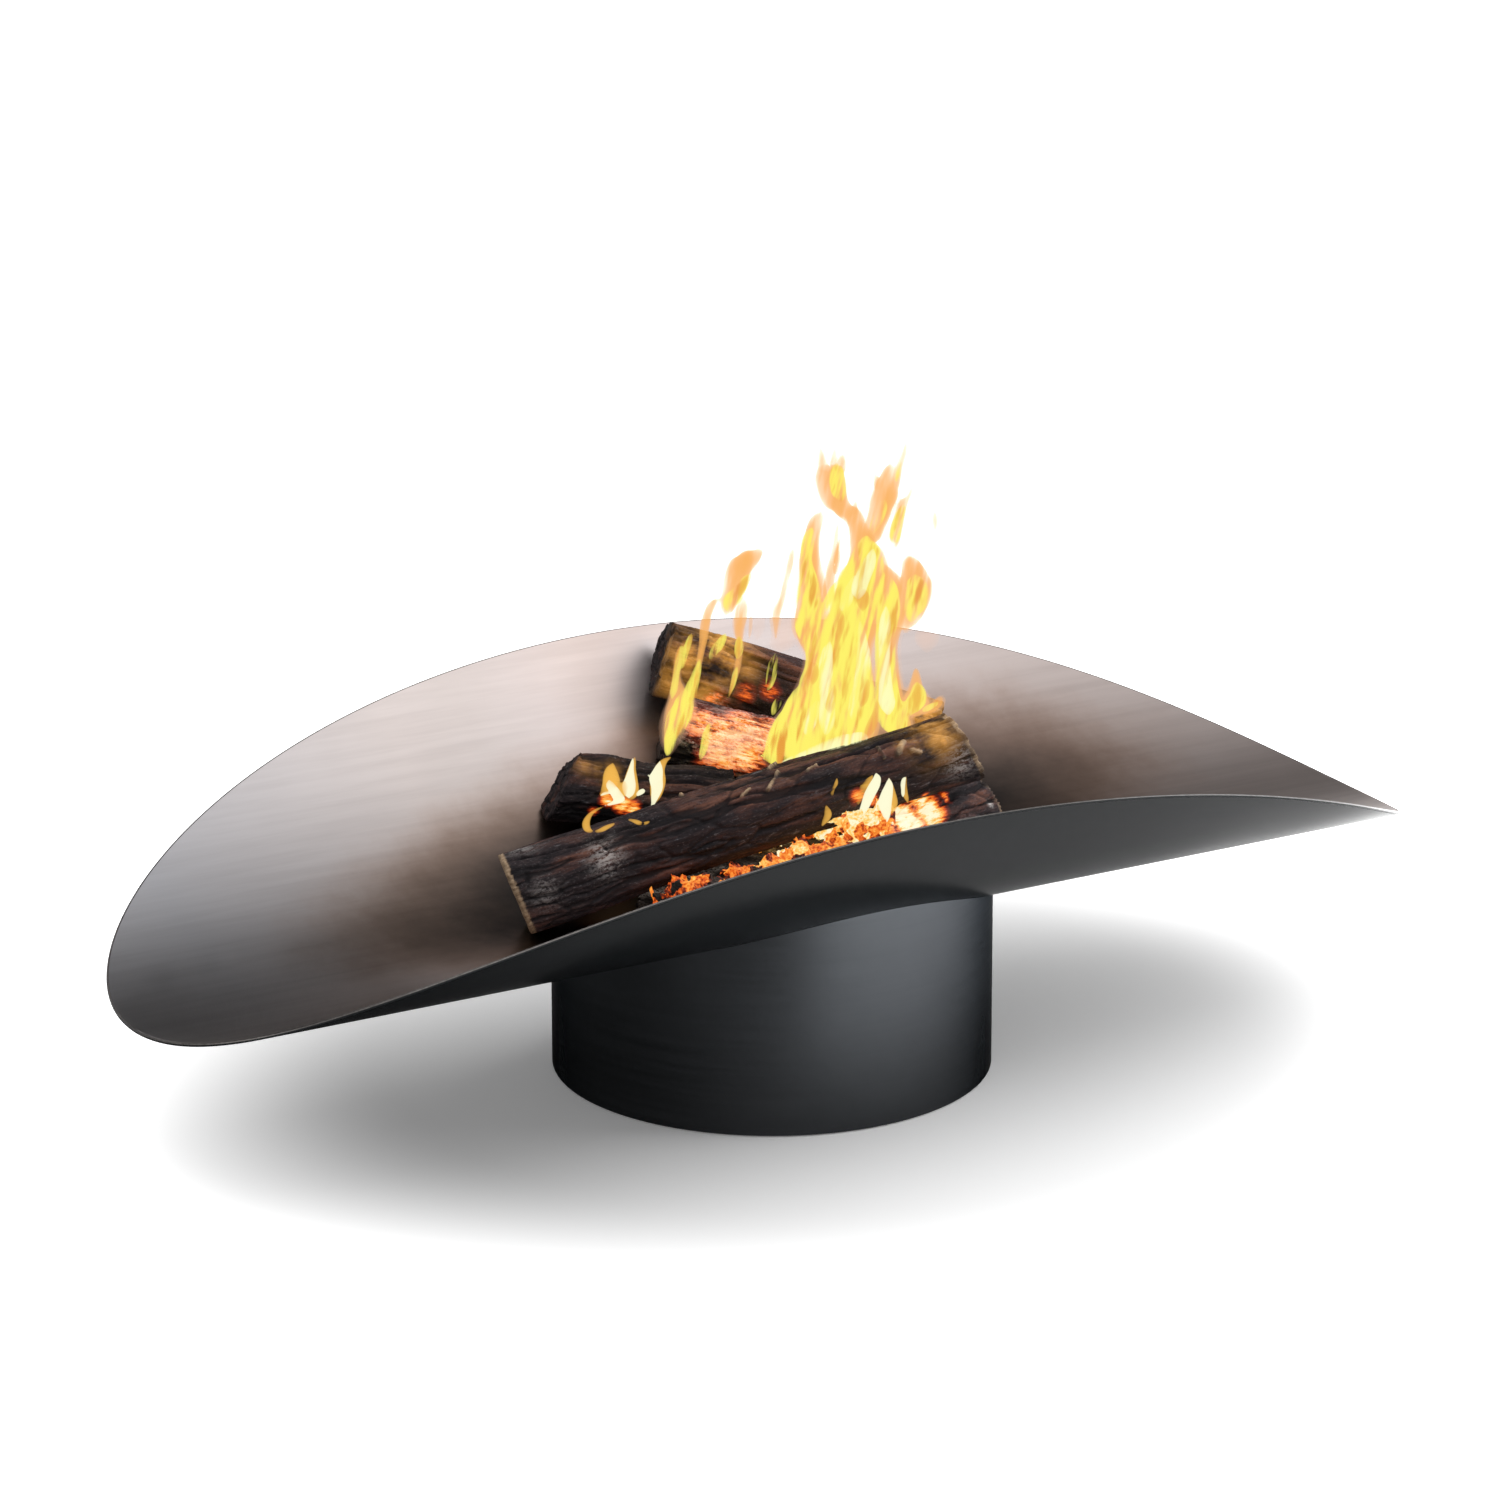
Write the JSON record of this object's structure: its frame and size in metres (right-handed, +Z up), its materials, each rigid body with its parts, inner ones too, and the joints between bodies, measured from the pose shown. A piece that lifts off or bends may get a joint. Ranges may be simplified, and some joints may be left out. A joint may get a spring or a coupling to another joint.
{
  "type": "fire bowl",
  "caption": "Outdoor fire bowl: an oval steel sheet rolled into a trough on a round steel drum, with a log fire laid in it.",
  "frame": {"origin": "on the floor, on the drum's vertical axis", "axes": "+Z up, +X along the bowl's trough, -Y the front that the picture shows"},
  "size_m": [1.6, 0.7944, 0.4282],
  "materials": {
    "bowl_steel": "satin, heat-tinted round the fire",
    "lug_steel": "mill finish",
    "drum_black": "satin black",
    "base_black": "satin black",
    "shield_steel": "mill finish",
    "zinc": "zinc plated",
    "rubber": "matt",
    "charred_wood": "charred bark and split wood",
    "ash": "powder",
    "embers": "glowing charcoal"
  },
  "bodies": {
    "drum": {"drum_shell": "drum_black", "base_ring": "base_black", "weld_nut_1": "zinc", "weld_nut_2": "zinc", "weld_nut_3": "zinc", "weld_nut_4": "zinc", "lock_nut_1": "zinc", "lock_nut_2": "zinc", "lock_nut_3": "zinc", "lock_nut_4": "zinc", "heat_shield": "shield_steel", "shield_spacer_1": "zinc", "shield_spacer_2": "zinc", "shield_spacer_3": "zinc", "shield_spacer_4": "zinc", "shield_screw_1": "zinc", "shield_screw_2": "zinc", "shield_screw_3": "zinc", "shield_screw_4": "zinc"},
    "bowl": {"bowl": "bowl_steel", "locating_lug_1": "lug_steel", "locating_lug_2": "lug_steel", "locating_lug_3": "lug_steel", "locating_lug_4": "lug_steel", "ash_bed": "ash", "front_embers": "embers", "inner_embers": "embers", "front_log": "charred_wood", "back_log": "charred_wood", "left_log": "charred_wood", "inner_log": "charred_wood", "bottom_log": "charred_wood"},
    "foot_1": {"foot_pad_1": "rubber", "foot_stem_1": "zinc"},
    "foot_2": {"foot_pad_2": "rubber", "foot_stem_2": "zinc"},
    "foot_3": {"foot_pad_3": "rubber", "foot_stem_3": "zinc"},
    "foot_4": {"foot_pad_4": "rubber", "foot_stem_4": "zinc"}
  },
  "joints": [
    {"name": "bowl_lift", "type": "slide", "parent": "drum", "child": "bowl", "axis": [0, 0, 1], "range_m": [0, 0.3]},
    {"name": "foot_screw_1", "type": "slide", "parent": "drum", "child": "foot_1", "axis": [0, 0, -1], "range_m": [0, 0.012]},
    {"name": "foot_screw_2", "type": "slide", "parent": "drum", "child": "foot_2", "axis": [0, 0, -1], "range_m": [0, 0.012]},
    {"name": "foot_screw_3", "type": "slide", "parent": "drum", "child": "foot_3", "axis": [0, 0, -1], "range_m": [0, 0.012]},
    {"name": "foot_screw_4", "type": "slide", "parent": "drum", "child": "foot_4", "axis": [0, 0, -1], "range_m": [0, 0.012]}
  ]
}
